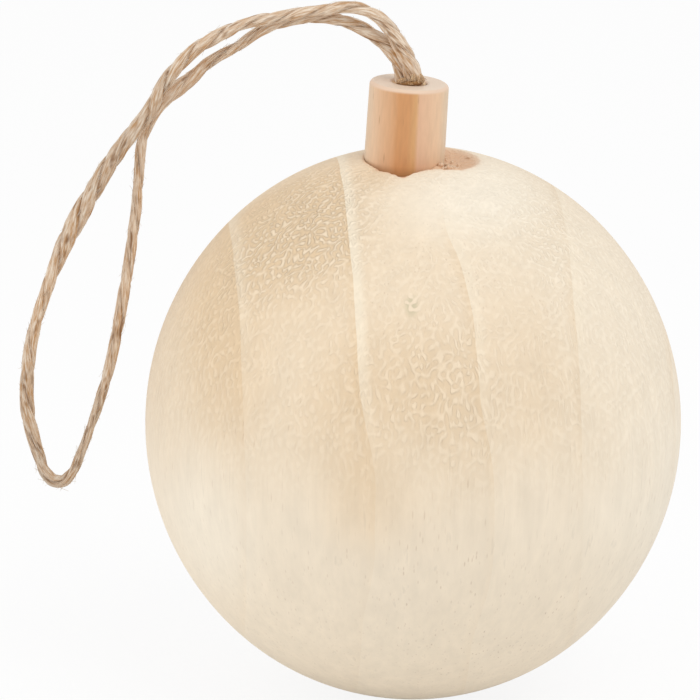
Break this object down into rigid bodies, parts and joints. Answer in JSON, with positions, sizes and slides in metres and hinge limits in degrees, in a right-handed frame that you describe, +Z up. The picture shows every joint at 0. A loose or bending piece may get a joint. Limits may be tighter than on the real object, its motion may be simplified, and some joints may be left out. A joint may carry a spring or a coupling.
{
  "type": "wooden ball ornament",
  "caption": "Turned pale wooden ball with a short dowel neck glued into its top and a loop of jute twine to hang it by.",
  "frame": {"origin": "lowest point of the ball, on its axis", "axes": "+Z up the ball's axis along the grain, +X to the right in the picture's view, -Y towards the viewer"},
  "size_m": [0.099, 0.08, 0.1055],
  "materials": {
    "ball_wood": "raw sanded paulownia",
    "neck_wood": "raw beech dowel",
    "twine": "natural jute, twisted"
  },
  "bodies": {
    "root": {"ball": "ball_wood", "neck": "neck_wood", "cord_knot": "twine", "cord": "twine"}
  },
  "joints": []
}
